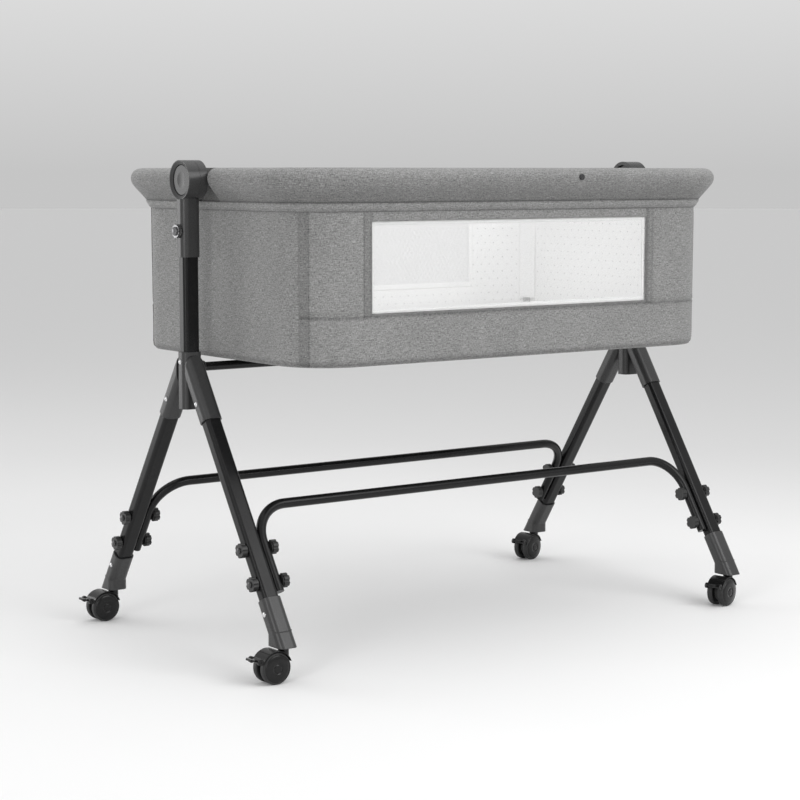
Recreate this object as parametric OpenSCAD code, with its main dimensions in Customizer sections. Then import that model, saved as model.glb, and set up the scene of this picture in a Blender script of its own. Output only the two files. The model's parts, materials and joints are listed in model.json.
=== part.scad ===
// Bassinet hung between two end posts on a folding stand with twin-wheel castors.
// Millimetres. X runs along the basket, Y across it, Z up. The floor is Z = 0 and the origin is
// under the middle of the whole outline, so the stand's own centre sits at x_centre.

/* [Stand] */
// end post to end post, centre to centre
post_spacing = 952; // [800:4:1120]
// castor stem to castor stem across the stand
stem_spacing = 542; // [440:2:660]
// underside of the basket above the floor
basket_bottom = 473; // [400:1:560]
// post and leg tube, along the basket
tube_w = 28; // [22:1:34]
// post and leg tube, across the basket
tube_d = 22; // [18:1:28]
// wall of every post and leg tube
tube_wall = 1.5; // [1:0.1:3]
// wall of the plastic sleeves around the tubes
sleeve_wall = 3; // [2.4:0.1:5]
// corner radius of the sleeves
sleeve_r = 10.5; // [6:0.5:13]
// sideways distance of each leg pivot from the post's middle plane
pivot_y = 28; // [26:0.5:34]
// leg pivots below the basket's underside
pivot_drop = 38; // [30:1:60]
// underside of the feet above the floor
foot_z = 54; // [54:0.5:60]

/* [Basket] */
// fabric box across
basket_w = 544; // [440:2:660]
// post centre to the fabric end wall
end_gap = 50; // [46:1:70]
// fabric walls, underside to the roll
wall_h = 239; // [180:1:320]
// fabric thickness
wall_t = 3; // [2:0.5:5]
// plan radius of the basket's corners
corner_r = 90; // [60:1:120]
// height of the padded rim roll
roll_h = 66; // [54:1:90]
// how far the padded roll stands out from the walls
roll_out = 35; // [30:1:44]
// length of each mesh window
window_w = 573; // [400:1:640]
// window sill above the basket's underside
window_sill = 81; // [60:1:120]
// upper edge of each mesh window below the roll
window_top = 16; // [8:1:60]
// how far each window sits off the middle, towards its own left corner
window_shift = 23; // [0:1:40]
// mattress thickness
mattress_t = 36; // [20:1:60]

/* [Hubs] */
// radius of the end hubs
hub_r = 31.5; // [28:0.5:36]
// length of the outer hub
hub_len = 20.7; // [16:0.1:28]
// length of the turning inner flange
flange_len = 14; // [10:0.5:20]
// length of the grey sleeve under each hub
hub_sleeve_len = 91; // [70:1:110]
// radius of the rim tube inside the roll
rim_tube_r = 8; // [6:0.5:9]

/* [Bars and bolts] */
// radius of the U-shaped cross bars
bar_r = 8; // [6:0.5:10]
// bend radius of the cross bars
bar_bend = 61; // [45:1:110]
// straight part of the cross bars between bend and upper knob
bar_arm = 0.5; // [0.5:0.5:40]
// lower end of the cross bars below the leg pivots, along the leg
bar_end_t = 366; // [340:1:366]
// upper bolt below the leg pivots, along the leg
bolt_t = 291; // [285:1:300]
// distance between the two bolts of a leg
bolt_pitch = 57; // [40:1:60]
// radius of the bolts
bolt_r = 3; // [2.5:0.5:4]
// radius of the star knobs
knob_r = 11.5; // [8:0.5:13]
// thickness of the star knobs
knob_t = 11; // [8:0.5:14]
// radius of the stretcher tube under the basket
stretcher_r = 7.2; // [5:0.1:8]

/* [Castors] */
// wheel radius
wheel_r = 25; // [20:0.5:25]
// width of one wheel
wheel_w = 13.5; // [10:0.5:15]
// castor stem to wheel axle
trail = 21; // [18:0.5:24]
// radius of the castor stem
stem_r = 5.5; // [4:0.5:6]
// how far the two castors of the right end have swivelled
swivel_right = 14; // [0:1:30]

/* [Hidden] */
$fn = 64;
run_gap = 0.05;      // radial clearance of a pin that turns in its hole
slide_gap = 0.3;     // clearance between pieces that move past each other
fit_gap = 0.1;       // clearance between pieces fixed in each other
cut = 1;             // how far a cutter runs past the piece

post_x = post_spacing / 2;
stem_y = stem_spacing / 2;
half_l = post_x - end_gap;
half_w = basket_w / 2;
core_x = half_l - corner_r;
core_y = half_w - corner_r;
wall_top = basket_bottom + wall_h;
window_h = wall_h - window_sill - window_top;
rim_top = wall_top + roll_h;
hub_z = rim_top - 19;
seam_a = 32;         // corner seam, degrees round from the end wall

sleeve_w = tube_w + 2 * sleeve_wall;
sleeve_d = min(tube_d + 5, 2 * (pivot_y - 14.5));
tube_r = 6.5;
bracket_w = sleeve_w + 1;
bracket_top = basket_bottom + 12;
bracket_bottom = basket_bottom - 80;
pivot_z = basket_bottom - pivot_drop + 0.3;
pin_r = 4;
tongue_r = 10;
tongue_half = 6;

// the leg axis meets the foot a little outside the castor stem
leg_reach = stem_y + 3.5 - pivot_y;
leg_drop = pivot_z - foot_z;
lean = atan(leg_reach / leg_drop);
leg_len = leg_drop / cos(lean);
sleeve_len = 68;
socket_len = leg_len - 376;
tube_top = 14;
tube_end = leg_len - 40;
sleeve_screw = 36;
socket_screw = leg_len - 55;
socket_top = min(376, leg_len - 60);
bar_end = min(bar_end_t, socket_top - 8);
run_t = bolt_t - knob_r + 2.5 - bar_arm - bar_bend;
bar_x = post_x - tube_w / 2 - bar_r;

hub_in = -5.2;
hub_out = hub_in + hub_len;
flange_out = hub_in - slide_gap;
flange_in = flange_out - flange_len;
axle_r = 8;
rim_d = 17;          // rim tube's axis outside the walls
rim_z = hub_z + 1;
roll_in = 7;         // the roll reaches this far inside the walls' outer face
roll_big = 14.5;     // radius of the roll's outer side
snap_r = 5;          // snap button on the front roll
snap_in = 0.8;
post_top = hub_z - hub_r - 7;
sleeve_low = hub_z - hub_r - hub_sleeve_len;
lock_z = hub_z - 81;
post_low = bracket_bottom + 5;

stretch_z = basket_bottom - 13.5;
axle_z = wheel_r;
web_half = 4.6;
wheel_in = 5.2;
hood_r = wheel_r + 2;
hood_half = 16;
hood_top = foot_z - 2;
lever_a = 155;
lever_r = wheel_r + 6.5;
lever_x = -trail + lever_r * cos(lever_a);
lever_z = axle_z + lever_r * sin(lever_a);
lever_len = 12;
lock_out = sleeve_w / 2 + 13;
// the outline runs from the left brake levers to the right lock knob
x_centre = (lever_len - lever_x - lock_out) / 2;

black = [0.07, 0.07, 0.075];
grey = [0.36, 0.36, 0.37];
silver = [0.78, 0.78, 0.8];
fabric = [0.5, 0.5, 0.5];
white = [0.93, 0.93, 0.92];

// ---- shared shapes ----

module rounded(w, d, r) {
    square([w - 2 * r, d], center = true);
    square([w, d - 2 * r], center = true);
    for (x = [-1, 1], y = [-1, 1]) {
        translate([x * (w / 2 - r), y * (d / 2 - r)]) circle(r = r);
    }
}

module tube_section() {
    difference() {
        rounded(tube_w, tube_d, tube_r);
        rounded(tube_w - 2 * tube_wall, tube_d - 2 * tube_wall, tube_r - tube_wall);
    }
}

module along_x(r, a, b) {
    translate([a, 0, 0]) rotate([0, 90, 0]) cylinder(r = r, h = b - a);
}

module along_y(r, a, b) {
    translate([0, b, 0]) rotate([90, 0, 0]) cylinder(r = r, h = b - a);
}

// puts a piece drawn for the right rear quarter into quarter fx, fy
module quarter(fx, fy) {
    translate([x_centre, 0, 0]) {
        mirror([fx < 0 ? 1 : 0, 0, 0]) mirror([0, fy < 0 ? 1 : 0, 0]) children();
    }
}

// the same, for a piece drawn round the post's axis
module at_post(fx) {
    quarter(fx, 1) translate([post_x, 0, 0]) children();
}

// leg frame: origin on the pivot, the leg runs down its -Z, +Y is the leg's outer side
module on_leg() {
    translate([post_x, pivot_y, pivot_z]) rotate([lean, 0, 0]) children();
}

module leg_prism(w, d, r, t0, t1) {
    translate([0, 0, -t1]) linear_extrude(t1 - t0) rounded(w, d, r);
}

// ---- posts and brackets ----

module post(fx) {
    color(black) at_post(fx) translate([0, 0, post_low]) {
        linear_extrude(post_top - post_low) tube_section();
    }
}

module apex_bracket(fx) {
    boss_l = 8;
    color(grey) at_post(fx) difference() {
        union() {
            translate([0, 0, bracket_bottom]) linear_extrude(bracket_top - bracket_bottom) {
                rounded(bracket_w, 2 * (pivot_y - 14.5), sleeve_r);
            }
            for (y = [-1, 1]) {
                translate([0, y * pivot_y, pivot_z]) along_x(tongue_r, -tongue_half, tongue_half);
                translate([-tongue_half, y > 0 ? 12 : -pivot_y, pivot_z - tongue_r]) {
                    cube([2 * tongue_half, pivot_y - 12, 2 * tongue_r]);
                }
            }
            translate([0, 0, stretch_z]) along_x(stretcher_r + 2.5, -bracket_w / 2 - boss_l, -tube_w / 2 - 2);
        }
        translate([0, 0, post_low]) linear_extrude(bracket_top) {
            rounded(tube_w + 2 * fit_gap, tube_d + 2 * fit_gap, tube_r + fit_gap);
        }
        for (y = [-1, 1]) {
            translate([0, y * pivot_y, pivot_z]) along_x(pin_r, -tongue_half - cut, tongue_half + cut);
        }
        translate([0, 0, stretch_z]) {
            along_x(stretcher_r, -bracket_w / 2 - boss_l - cut, -tube_w / 2 - 2.2);
        }
        translate([0, 0, bracket_top - 16]) along_x(2, bracket_w / 2 - 2.8, bracket_w / 2 + cut);
    }
}

module leg_pivot_pins() {
    color(silver) for (fx = [-1, 1], fy = [-1, 1]) {
        quarter(fx, fy) translate([post_x, pivot_y, pivot_z]) along_x(pin_r, -14, 14);
    }
}

module stretcher_tube() {
    reach = post_x - bracket_w / 2 - 2;
    color(black) translate([x_centre, 0, stretch_z]) difference() {
        along_x(stretcher_r, -reach, reach);
        along_x(stretcher_r - 1.2, -reach - cut, reach + cut);
    }
}

// a piece turned round the X axis: the profile's x is the radius and its y runs along X
module turned() {
    rotate([0, 90, 0]) rotate_extrude() children();
}

// profile of a domed head standing on y = 0
module dome(r, h) {
    ball = h * 2 + 0.2;
    intersection() {
        translate([0, h - ball]) circle(r = ball);
        square([r, h]);
    }
}

// domed head on the outer face, shank going inwards
module screw(face) {
    translate([face, 0, 0]) turned() {
        translate([0, -2.6]) square([2, 2.7]);
        dome(4, 2.6);
    }
}

module bracket_screws() {
    color(silver) for (fx = [-1, 1]) {
        at_post(fx) translate([0, 0, bracket_top - 16]) screw(bracket_w / 2);
    }
}

// ---- legs ----

module leg_tube(fx, fy) {
    color(black) quarter(fx, fy) on_leg() difference() {
        translate([0, 0, -tube_end]) linear_extrude(tube_end - tube_top) tube_section();
        for (k = [0, 1]) {
            translate([0, 0, -bolt_t - k * bolt_pitch]) along_x(bolt_r + fit_gap, -tube_w, tube_w);
        }
    }
}

// rounded top, seen along Y
module crown() {
    top = basket_bottom + 6;
    translate([post_x, 200, top - sleeve_w / 2]) along_y(sleeve_w / 2, -200, 200);
    translate([post_x - sleeve_w / 2, 0, -100]) cube([sleeve_w, 400, top - sleeve_w / 2 + 100]);
}

module leg_sleeve(fx, fy) {
    color(grey) quarter(fx, fy) difference() {
        intersection() {
            on_leg() leg_prism(sleeve_w, sleeve_d, sleeve_r, -70, sleeve_len);
            crown();
            translate([0, pivot_y - 14.5 + slide_gap, 0]) cube([2 * post_x, 400, 2 * basket_bottom]);
        }
        on_leg() {
            leg_prism(tube_w + 2 * fit_gap, tube_d + 2 * fit_gap, tube_r + fit_gap,
                tube_top - 0.5, sleeve_len + cut);
            along_x(pin_r + run_gap, -14 - slide_gap, 14 + slide_gap);
            along_x(tongue_r + 0.5, -tongue_half - slide_gap, tongue_half + slide_gap);
            translate([-tongue_half - slide_gap, -40, -tongue_r - 0.5]) {
                cube([2 * (tongue_half + slide_gap), 40, 60]);
            }
            translate([0, 0, -sleeve_screw]) along_x(2, sleeve_w / 2 - 2.8, sleeve_w);
        }
        // room for the bracket's tongue while the leg stands out
        translate([post_x - tongue_half - slide_gap - 0.1, 0, pivot_z - 6]) {
            cube([2 * (tongue_half + slide_gap + 0.1), pivot_y - 2, 6 + tongue_r + slide_gap]);
        }
    }
}

module foot_socket(fx, fy) {
    heel_h = 24;
    heel_in = stem_y - 23;
    heel_out = stem_y + 5;
    color(grey) quarter(fx, fy) difference() {
        intersection() {
            union() {
                on_leg() leg_prism(sleeve_w, sleeve_d, sleeve_r, socket_top, leg_len + 40);
                translate([post_x, (heel_in + heel_out) / 2, foot_z]) linear_extrude(heel_h) {
                    rounded(sleeve_w, heel_out - heel_in, sleeve_r);
                }
            }
            translate([0, 0, foot_z]) cube([2 * post_x, 2 * stem_y, 200]);
        }
        on_leg() {
            leg_prism(tube_w + 2 * fit_gap, tube_d + 2 * fit_gap, tube_r + fit_gap,
                socket_top - cut, tube_end);
            translate([0, 0, -socket_screw]) along_x(2, sleeve_w / 2 - 2.8, sleeve_w);
        }
        translate([post_x, stem_y, foot_z - cut]) cylinder(r = stem_r + run_gap, h = 18 + cut);
    }
}

module leg_screws(fy) {
    color(silver) for (fx = [-1, 1], t = [sleeve_screw, socket_screw]) {
        quarter(fx, fy) on_leg() translate([0, 0, -t]) screw(sleeve_w / 2);
    }
}

// ---- cross bars ----

module bar_ring(bore) {
    difference() {
        circle(r = bar_r);
        if (bore) circle(r = bar_r - 1.2);
    }
}

module cross_bar(fy) {
    straight = bar_x - bar_bend;
    arm = bar_end - run_t - bar_bend;
    color(black) translate([x_centre, 0, 0]) mirror([0, fy < 0 ? 1 : 0, 0]) {
        translate([0, pivot_y, pivot_z]) rotate([lean, 0, 0]) difference() {
            union() {
                translate([-straight, 0, -run_t]) rotate([0, 90, 0]) linear_extrude(2 * straight) {
                    bar_ring(true);
                }
                for (fx = [-1, 1]) mirror([fx < 0 ? 1 : 0, 0, 0]) {
                    translate([straight, 0, -run_t - bar_bend]) rotate([90, 0, 0]) {
                        rotate_extrude(angle = 90) translate([bar_bend, 0]) bar_ring(true);
                    }
                    translate([bar_x, 0, -bar_end + 1]) linear_extrude(arm - 1) bar_ring(true);
                    translate([bar_x, 0, -bar_end]) cylinder(r = bar_r, h = 3);
                }
            }
            for (fx = [-1, 1], k = [0, 1]) {
                translate([fx * bar_x, 0, -bolt_t - k * bolt_pitch]) {
                    along_x(bolt_r + fit_gap, -bar_r - cut, bar_r + cut);
                }
            }
        }
    }
}

module on_bolts(fy) {
    for (fx = [-1, 1], k = [0, 1]) {
        quarter(fx, fy) on_leg() translate([0, 0, -bolt_t - k * bolt_pitch]) children();
    }
}

module bar_bolts(fy) {
    nut = -tube_w / 2 - 2 * bar_r - knob_t;
    face = tube_w / 2 + knob_t;
    color(silver) on_bolts(fy) translate([face, 0, 0]) turned() {
        translate([0, nut + 4 - face]) square([bolt_r, face - nut - 3.9]);
        dome(5, 3.6);
    }
}

// six-lobed hand knob standing on its base at x = 0
module star_knob(blind) {
    difference() {
        union() {
            along_x(knob_r, 2, knob_t);
            along_x(knob_r - 2.5, 0, 2.5);
        }
        for (a = [0:60:300]) {
            rotate([a + 30, 0, 0]) translate([0, knob_r + 1.4, 0]) along_x(3.2, 1, knob_t + cut);
        }
        along_x(bolt_r + fit_gap, -cut, blind ? knob_t - 4 + fit_gap : knob_t + cut);
    }
}

module bar_knobs(fy) {
    color(black) on_bolts(fy) {
        translate([tube_w / 2, 0, 0]) star_knob(false);
        translate([-tube_w / 2 - 2 * bar_r, 0, 0]) mirror([1, 0, 0]) star_knob(true);
    }
}

// ---- castors: origin on the floor under the stem, the wheels trail towards -X ----

module at_castor(fx, fy) {
    translate([x_centre + fx * post_x, fy * stem_y, 0]) {
        rotate([0, 0, fx > 0 ? swivel_right : 0]) children();
    }
}

module castor_hood(fx, fy) {
    color(black) at_castor(fx, fy) difference() {
        union() {
            translate([0, 0, axle_z]) cylinder(r = 8.5, h = hood_top - axle_z);
            translate([0, 0, hood_top - cut]) cylinder(r = stem_r, h = 19 + 2 * cut);
            intersection() {
                translate([-trail, 0, axle_z]) along_y(hood_r, -hood_half, hood_half);
                translate([-100, -50, axle_z + 9]) cube([130, 100, 50]);
            }
            translate([-trail, 0, axle_z]) along_y(wheel_r - 6, -web_half, web_half);
            for (s = [-1, 1]) {
                translate([lever_x, s * 12.7, lever_z]) along_y(5, -2.3, 2.3);
            }
        }
        for (s = [-1, 1]) {
            translate([-trail, s * (web_half + 15), axle_z]) along_y(wheel_r + 0.7, -15, 15);
        }
        translate([-trail, 0, axle_z]) along_y(3 + run_gap, -20, 20);
        translate([lever_x, 0, lever_z]) {
            along_y(1.5 + run_gap, -20, 20);
            along_y(3.6, -10.4, 10.4);
        }
    }
}

module wheel() {
    rotate_extrude() intersection() {
        square([wheel_r, wheel_w]);
        union() {
            translate([0, wheel_w - 90]) circle(r = 90, $fn = 360);
        }
    }
}

module castor_wheels(fx, fy) {
    color(black) at_castor(fx, fy) translate([-trail, 0, axle_z]) {
        for (s = [-1, 1]) {
            rotate([s > 0 ? -90 : 90, 0, 0]) translate([0, 0, wheel_in]) wheel();
        }
        along_y(3, -wheel_in, wheel_in);
    }
}

module brake_lever(fx, fy) {
    color(black) at_castor(fx, fy) translate([lever_x, 0, lever_z]) {
        along_y(3.2, -10, 10);
        along_y(1.5, -14.5, 14.5);
        rotate([0, 10, 0]) translate([-lever_len / 2 - 1, 0, -0.4]) linear_extrude(3.2) {
            rounded(lever_len + 2 - 0.2, 20, 4);
        }
    }
}

// ---- hubs ----

module hub_sleeve(fx) {
    color(grey) at_post(fx) difference() {
        union() {
            translate([0, 0, hub_z]) along_x(hub_r, hub_in, hub_out);
            translate([0, 0, hub_z]) along_x(axle_r, flange_in + 2.5, hub_in + cut);
            difference() {
                translate([0, 0, sleeve_low]) linear_extrude(hub_sleeve_len + 6) {
                    rounded(sleeve_w, sleeve_d, sleeve_r);
                }
                translate([0, 0, hub_z]) along_x(hub_r + 0.5, -sleeve_w, hub_in);
                translate([0, 0, hub_z]) along_x(hub_r - 1, hub_in, sleeve_w);
            }
        }
        // bevelled recess for the button
        translate([0, 0, hub_z]) along_x(24.6, hub_out - 9.5, hub_out + cut);
        translate([hub_out - 3, 0, hub_z]) rotate([0, 90, 0]) cylinder(r1 = 24.6, r2 = 30.2, h = 3.01);
        // room for the post
        translate([0, 0, sleeve_low - cut]) linear_extrude(post_top + 1 + cut - sleeve_low) {
            rounded(tube_w + 2 * slide_gap, tube_d + 2 * slide_gap, tube_r + slide_gap);
        }
        translate([0, 0, lock_z]) along_x(4 + run_gap, tube_w / 2, sleeve_w);
    }
}

module hub_buttons() {
    color(grey) for (fx = [-1, 1]) {
        at_post(fx) translate([0, 0, hub_z]) difference() {
            along_x(23.6, hub_out - 9.5, hub_out - 4);
            translate([hub_out - 4 + 58.6, 0, 0]) sphere(r = 60, $fn = 180);
        }
    }
}

module lock_knob(fx) {
    face = sleeve_w / 2 + slide_gap;
    shank = face - tube_w / 2 - slide_gap;
    color(black) at_post(fx) translate([face, 0, lock_z]) difference() {
        turned() {
            translate([0, -shank]) square([4, shank + 0.1]);
            square([11, 6.5]);
            translate([0, 6.4]) dome(7, 5);
        }
        for (a = [0:30:330]) {
            rotate([a, 0, 0]) translate([0, 11.4, 0]) along_x(1.4, -cut, 7);
        }
    }
}

module hub_flange(fx) {
    tube_at = rim_d - end_gap;
    color(grey) at_post(fx) difference() {
        union() {
            difference() {
                translate([0, 0, hub_z]) along_x(hub_r, flange_in, flange_out);
                translate([0, 0, hub_z]) along_x(25, flange_in - cut, flange_in + 4);
            }
            translate([0, 0, hub_z]) along_x(axle_r + 2.5, flange_in, flange_out);
            translate([0, 0, hub_z]) along_x(9, tube_at, flange_in + 4);
            translate([tube_at, 0, rim_z]) along_y(rim_tube_r + 2, -29, 29);
        }
        translate([0, 0, hub_z]) along_x(axle_r + run_gap, flange_in + 2.2, flange_out + cut);
        translate([tube_at, 0, rim_z]) along_y(rim_tube_r, -30, 30);
    }
}

// ---- rim: a profile carried round half the basket ----

module half_ring(sy) {
    translate([x_centre, 0, 0]) mirror([0, sy < 0 ? 1 : 0, 0]) {
        translate([-core_x, 0, 0]) rotate([90, 0, 90]) linear_extrude(2 * core_x) {
            translate([half_w, 0]) children();
        }
        for (fx = [-1, 1]) mirror([fx < 0 ? 1 : 0, 0, 0]) {
            translate([core_x, core_y, 0]) rotate_extrude(angle = 90) {
                translate([corner_r, 0]) children();
            }
            translate([0, core_y, 0]) rotate([90, 0, 0]) linear_extrude(core_y) {
                translate([half_l, 0]) children();
            }
        }
    }
}

module rim_tube(sy) {
    color(black) difference() {
        half_ring(sy) translate([rim_d, rim_z]) difference() {
            circle(r = rim_tube_r);
            circle(r = rim_tube_r - 1.2);
        }
        translate([x_centre - half_l - 60, -2, rim_z - 20]) cube([2 * half_l + 120, 4, 40]);
    }
}

module roll_section() {
    big = roll_big;
    small = 8;
    cx = roll_out - big;
    cz = rim_top - big;
    difference() {
        union() {
            translate([cx, cz]) circle(r = big);
            translate([small - roll_in, rim_top - small]) circle(r = small);
            polygon([[-roll_in, wall_top], [1, wall_top],
                [cx + big * cos(35), cz - big * sin(35)], [cx, cz], [cx, rim_top],
                [small - roll_in, rim_top], [small - roll_in, rim_top - small],
                [-roll_in, rim_top - small]]);
        }
        translate([rim_d, rim_z]) circle(r = rim_tube_r + fit_gap);
    }
}

module rim_roll(sy) {
    notch = hub_r + 0.8;
    color(fabric) difference() {
        half_ring(sy) roll_section();
        for (fx = [-1, 1]) at_post(fx) {
            translate([flange_in - 0.6, -notch, wall_top - cut]) cube([60, 2 * notch, roll_h + 20]);
            translate([0, 0, hub_z]) along_x(9.5, rim_d - end_gap, flange_in);
            translate([rim_d - end_gap, 0, rim_z]) along_y(rim_tube_r + 2.4, -30, 30);
        }
        if (sy < 0) on_roll_front() along_y(snap_r + fit_gap, -cut, snap_in);
    }
}

// on the front roll's outermost line, right of the middle
module on_roll_front() {
    translate([x_centre + 86, -half_w - roll_out, rim_top - roll_big]) children();
}

module snap_button() {
    color(grey) on_roll_front() along_y(snap_r, -1.8, snap_in);
}

// ---- basket ----

module box_plan(inset) {
    rounded(2 * (half_l - inset), 2 * (half_w - inset), corner_r - inset);
}

module wall_ring(inset, t, z0, z1) {
    translate([x_centre, 0, z0]) linear_extrude(z1 - z0) difference() {
        box_plan(inset);
        box_plan(inset + t);
    }
}

// wedge of the plan that belongs to a side (sy) or an end (sx), cut at the corner seams
module side_part(sy) {
    far = 400;
    dx = far * cos(seam_a);
    dy = far * sin(seam_a);
    translate([x_centre, 0, 0]) mirror([0, sy < 0 ? 1 : 0, 0]) linear_extrude(rim_top) {
        polygon([[-core_x, core_y], [core_x, core_y], [core_x + dx, core_y + dy],
            [core_x + dx, core_y + 2 * far], [-core_x - dx, core_y + 2 * far],
            [-core_x - dx, core_y + dy]]);
    }
}

module end_part(sx) {
    far = 400;
    dx = far * cos(seam_a);
    dy = far * sin(seam_a);
    translate([x_centre, 0, 0]) mirror([sx < 0 ? 1 : 0, 0, 0]) linear_extrude(rim_top) {
        polygon([[core_x, -core_y], [core_x + dx, -core_y - dy], [core_x + dx, core_y + dy],
            [core_x, core_y]]);
    }
}

// the front window sits left of the middle and the rear one is the same seen from behind
module window_box(sy, y0, y1) {
    low = basket_bottom + window_sill;
    y = sy < 0 ? -y1 : y0;
    translate([x_centre + sy * window_shift - window_w / 2, y, low]) {
        cube([window_w, y1 - y0, window_h]);
    }
}

module side_panel(sy) {
    color(fabric) difference() {
        intersection() {
            wall_ring(0, wall_t, basket_bottom, wall_top);
            side_part(sy);
        }
        window_box(sy, half_w - 20, half_w + 20);
    }
}

module end_panel(sx) {
    color(fabric) intersection() {
        wall_ring(0, wall_t, basket_bottom, wall_top);
        end_part(sx);
    }
}

module mesh_windows() {
    color(white) for (sy = [-1, 1]) window_box(sy, half_w - 2, half_w - 1);
}

module inner_liner() {
    color(white) difference() {
        wall_ring(wall_t + fit_gap, 1.2, basket_bottom + 8, wall_top - 0.5);
        for (sy = [-1, 1]) window_box(sy, half_w - 20, half_w + 20);
    }
}

module base_board() {
    color(fabric) translate([x_centre, 0, basket_bottom + 0.5]) linear_extrude(6) {
        box_plan(wall_t + fit_gap);
    }
}

module mattress() {
    color(white) translate([x_centre, 0, basket_bottom + 6.6]) linear_extrude(mattress_t) {
        box_plan(wall_t + 6);
    }
}

post(-1);  // post_left
post(1);  // post_right
apex_bracket(-1);  // apex_bracket_left
apex_bracket(1);  // apex_bracket_right
stretcher_tube();
leg_pivot_pins();
bracket_screws();
leg_tube(-1, -1);  // leg_tube_front_left
leg_tube(1, -1);  // leg_tube_front_right
leg_sleeve(-1, -1);  // leg_sleeve_front_left
leg_sleeve(1, -1);  // leg_sleeve_front_right
foot_socket(-1, -1);  // foot_socket_front_left
foot_socket(1, -1);  // foot_socket_front_right
cross_bar(-1);  // cross_bar_front
bar_bolts(-1);  // bar_bolts_front
bar_knobs(-1);  // bar_knobs_front
leg_screws(-1);  // leg_screws_front
leg_tube(-1, 1);  // leg_tube_rear_left
leg_tube(1, 1);  // leg_tube_rear_right
leg_sleeve(-1, 1);  // leg_sleeve_rear_left
leg_sleeve(1, 1);  // leg_sleeve_rear_right
foot_socket(-1, 1);  // foot_socket_rear_left
foot_socket(1, 1);  // foot_socket_rear_right
cross_bar(1);  // cross_bar_rear
bar_bolts(1);  // bar_bolts_rear
bar_knobs(1);  // bar_knobs_rear
leg_screws(1);  // leg_screws_rear
castor_hood(-1, -1);  // castor_hood_front_left
castor_wheels(-1, -1);  // castor_wheels_front_left
brake_lever(-1, -1);  // brake_lever_front_left
castor_hood(1, -1);  // castor_hood_front_right
castor_wheels(1, -1);  // castor_wheels_front_right
brake_lever(1, -1);  // brake_lever_front_right
castor_hood(-1, 1);  // castor_hood_rear_left
castor_wheels(-1, 1);  // castor_wheels_rear_left
brake_lever(-1, 1);  // brake_lever_rear_left
castor_hood(1, 1);  // castor_hood_rear_right
castor_wheels(1, 1);  // castor_wheels_rear_right
brake_lever(1, 1);  // brake_lever_rear_right
hub_sleeve(-1);  // hub_sleeve_left
hub_sleeve(1);  // hub_sleeve_right
hub_buttons();
lock_knob(-1);  // lock_knob_left
lock_knob(1);  // lock_knob_right
hub_flange(-1);  // hub_flange_left
hub_flange(1);  // hub_flange_right
rim_tube(-1);  // rim_tube_front
rim_tube(1);  // rim_tube_rear
rim_roll(-1);  // rim_roll_front
rim_roll(1);  // rim_roll_rear
side_panel(-1);  // side_panel_front
side_panel(1);  // side_panel_rear
end_panel(-1);  // end_panel_left
end_panel(1);  // end_panel_right
mesh_windows();
inner_liner();
base_board();
mattress();
snap_button();
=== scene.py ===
import json
import math
from itertools import product

import bpy
import numpy as np
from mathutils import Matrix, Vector


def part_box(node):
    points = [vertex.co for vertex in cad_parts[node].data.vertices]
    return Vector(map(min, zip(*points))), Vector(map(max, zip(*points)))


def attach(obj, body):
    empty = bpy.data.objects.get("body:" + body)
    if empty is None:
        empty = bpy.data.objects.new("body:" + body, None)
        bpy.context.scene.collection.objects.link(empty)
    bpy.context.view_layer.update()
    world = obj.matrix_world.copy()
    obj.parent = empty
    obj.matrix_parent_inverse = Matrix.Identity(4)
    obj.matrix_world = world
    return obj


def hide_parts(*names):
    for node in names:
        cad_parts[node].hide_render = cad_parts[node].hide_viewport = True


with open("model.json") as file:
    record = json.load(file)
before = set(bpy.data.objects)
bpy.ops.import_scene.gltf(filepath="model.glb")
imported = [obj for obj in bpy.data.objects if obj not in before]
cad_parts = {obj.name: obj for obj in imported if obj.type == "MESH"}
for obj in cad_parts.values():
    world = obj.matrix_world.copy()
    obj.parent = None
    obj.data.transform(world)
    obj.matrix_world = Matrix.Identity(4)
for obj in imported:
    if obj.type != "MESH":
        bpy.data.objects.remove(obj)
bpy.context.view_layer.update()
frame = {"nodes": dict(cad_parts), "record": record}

scene = bpy.context.scene
MM = 0.001

# ---------------------------------------------------------------- camera
camera_data = bpy.data.cameras.new("camera")
camera_data.sensor_width = 36
camera_data.lens = 90.998
camera = bpy.data.objects.new("camera", camera_data)
scene.collection.objects.link(camera)
camera.location = (-2.1019, -2.8092, 0.7723)
camera.rotation_euler = (math.pi / 2 - 0.1125, 0, -0.6329)
scene.camera = camera

# ---------------------------------------------------------------- sizes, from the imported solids
panel_low, panel_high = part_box("side_panel_front")
roll_low, roll_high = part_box("rim_roll_front")
board_low, board_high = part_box("base_board")
mat_low, mat_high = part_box("mattress")
net_low, net_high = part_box("mesh_windows")
flange_low, flange_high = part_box("hub_flange_right")

X_MID = (board_low.x + board_high.x) / 2      # the basket's middle
HALF_W = -panel_low.y                         # outer faces of the fabric walls
HALF_L = board_high.x - X_MID + 3.1 * MM
CORNER = 90 * MM
CORE_X, CORE_Y = HALF_L - CORNER, HALF_W - CORNER
Z_LOW, Z_TOP = panel_low.z, panel_high.z      # fabric walls
RIM_TOP = roll_high.z
HUB_Z = (flange_low.z + flange_high.z) / 2
HUB_R = (flange_high.z - flange_low.z) / 2
WIN_LOW, WIN_HIGH = net_low.z, net_high.z
WIN_W = 573 * MM
WIN_SHIFT = 23 * MM
SEAM_Z = WIN_LOW - 5 * MM                     # seam that runs under the windows
SEAM_A = math.radians(32)                     # corner seams, from the end wall's middle
STRIP = 15 * MM                               # strips sewn down both sides of a window
CLOTH = 1.5 * MM                              # thickness of the fabric walls
DRAWN_TOP = 712 * MM                          # wall top that the roll outlines are drawn to

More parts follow.
